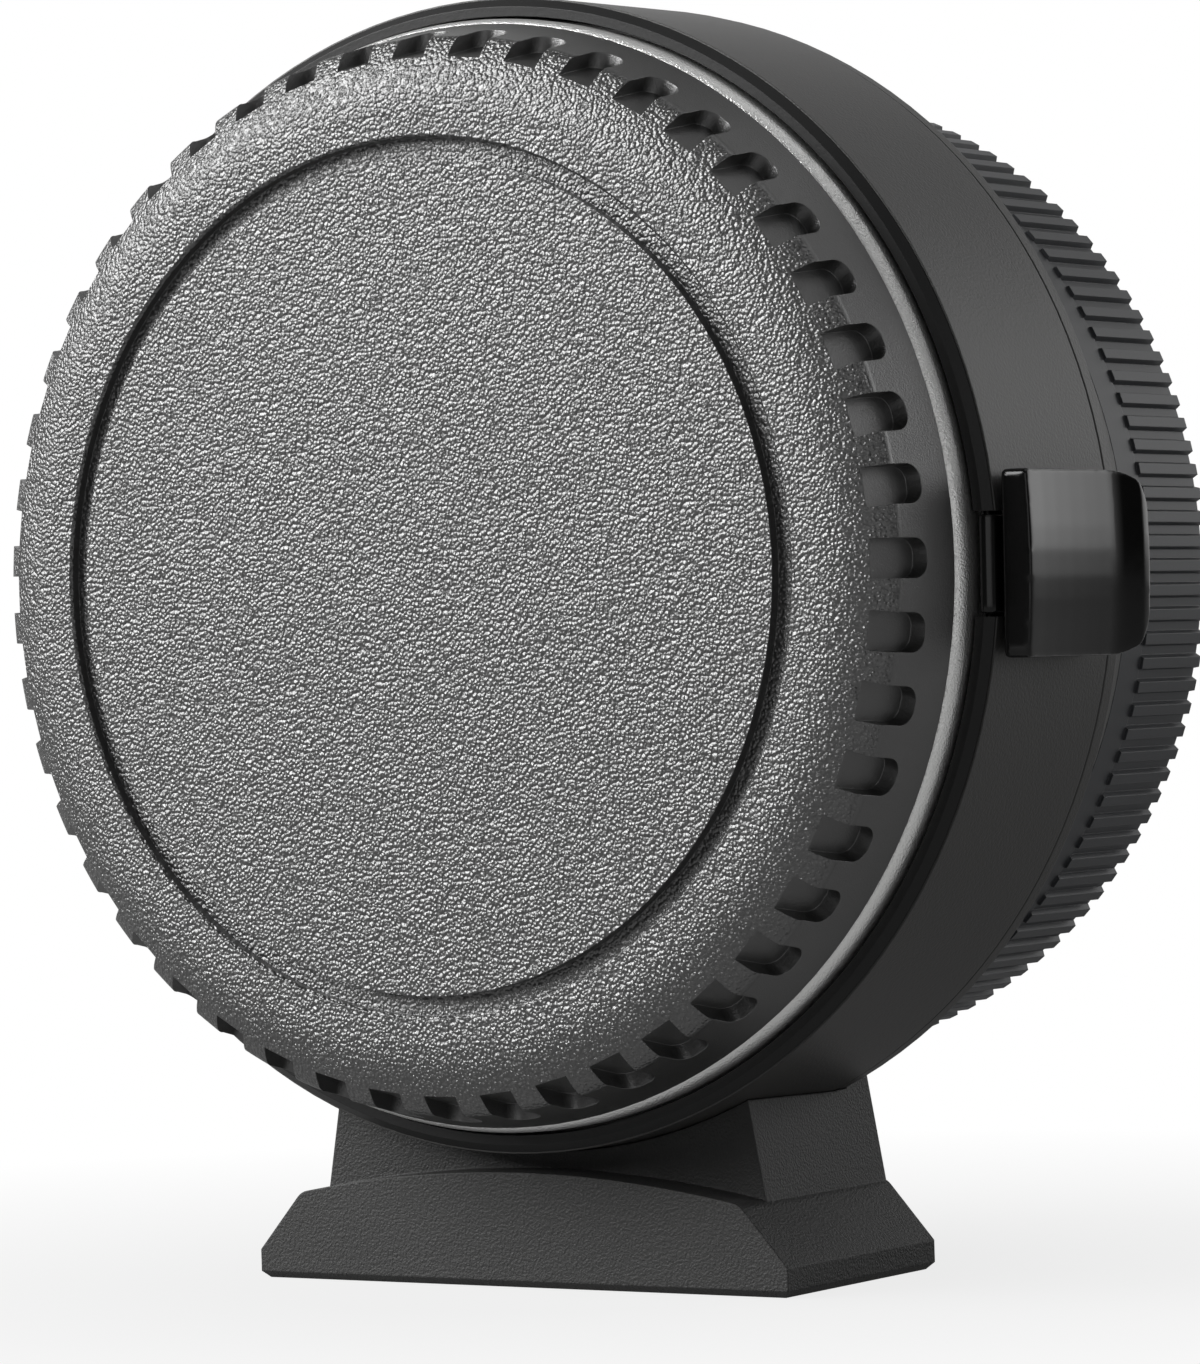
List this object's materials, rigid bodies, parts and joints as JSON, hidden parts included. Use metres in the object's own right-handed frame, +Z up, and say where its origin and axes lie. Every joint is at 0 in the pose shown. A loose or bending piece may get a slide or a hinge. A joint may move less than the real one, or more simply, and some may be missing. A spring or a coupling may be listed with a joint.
{
  "type": "lens mount adapter",
  "caption": "Short ring-shaped adapter between a lens and a camera body, with a lens release lever, a tripod foot and both caps on.",
  "frame": {"origin": "mouth of the tripod socket, in the plane of the foot's bottom", "axes": "+X to the right seen from the lens side, where the lever is; +Y back along the optical axis to the camera; +Z up"},
  "size_m": [0.0704, 0.0401, 0.0751],
  "materials": {
    "cap_black": "pebbled moulded plastic",
    "cap_grey": "satin moulded plastic",
    "silver": "satin plated",
    "collar_black": "satin black",
    "body_paint": "fine-grained satin black",
    "foot_paint": "fine-grained satin black",
    "lever_gloss": "glossy black",
    "steel": "plain",
    "inner_plastic": "matt black",
    "gold": "gold plated",
    "flex": "amber film",
    "board": "solder mask",
    "chip": "moulded"
  },
  "bodies": {
    "housing": {"lens_mount_ring": "silver", "camera_mount_ring": "silver", "collar_ring": "collar_black", "barrel": "body_paint", "rear_cover": "body_paint", "tripod_foot": "foot_paint", "lock_spring": "steel", "lock_bracket": "steel", "bracket_screws": "steel", "bayonet_springs": "steel", "lens_ring_screws": "steel", "contact_block": "inner_plastic", "contact_sleeves": "gold", "contact_block_screws": "steel", "contact_flex": "flex", "circuit_board": "board", "board_parts": "chip", "board_screws": "steel", "rear_flex": "flex", "rear_contact_block": "inner_plastic", "rear_contacts": "gold", "rear_block_screws": "steel", "baffle": "inner_plastic", "camera_ring_screws": "steel", "foot_screws": "steel", "tripod_bush": "steel"},
    "front_cap": {"front_cap": "cap_black"},
    "rear_cap": {"rear_cap": "cap_grey"},
    "lever": {"release_lever": "lever_gloss", "lock_pin": "steel"},
    "contact_pins": {"contact_pins": "gold"}
  },
  "joints": [
    {"name": "front_cap_turn", "type": "hinge", "parent": "housing", "child": "front_cap", "pos_m": [0, -0.0101, 0.0413], "axis": [0, -1, 0], "range_deg": [0, 60]},
    {"name": "rear_cap_turn", "type": "hinge", "parent": "housing", "child": "rear_cap", "pos_m": [0, 0.0159, 0.0413], "axis": [0, 1, 0], "range_deg": [0, 60]},
    {"name": "lever_slide", "type": "slide", "parent": "housing", "child": "lever", "axis": [0, 1, 0], "range_m": [0, 0.0025], "stiffness_N_per_m": 400, "deforming": ["lock_spring"]},
    {"name": "contact_pin_slide", "type": "slide", "parent": "housing", "child": "contact_pins", "axis": [0, 1, 0], "range_m": [0, 0.0008], "stiffness_N_per_m": 300}
  ]
}
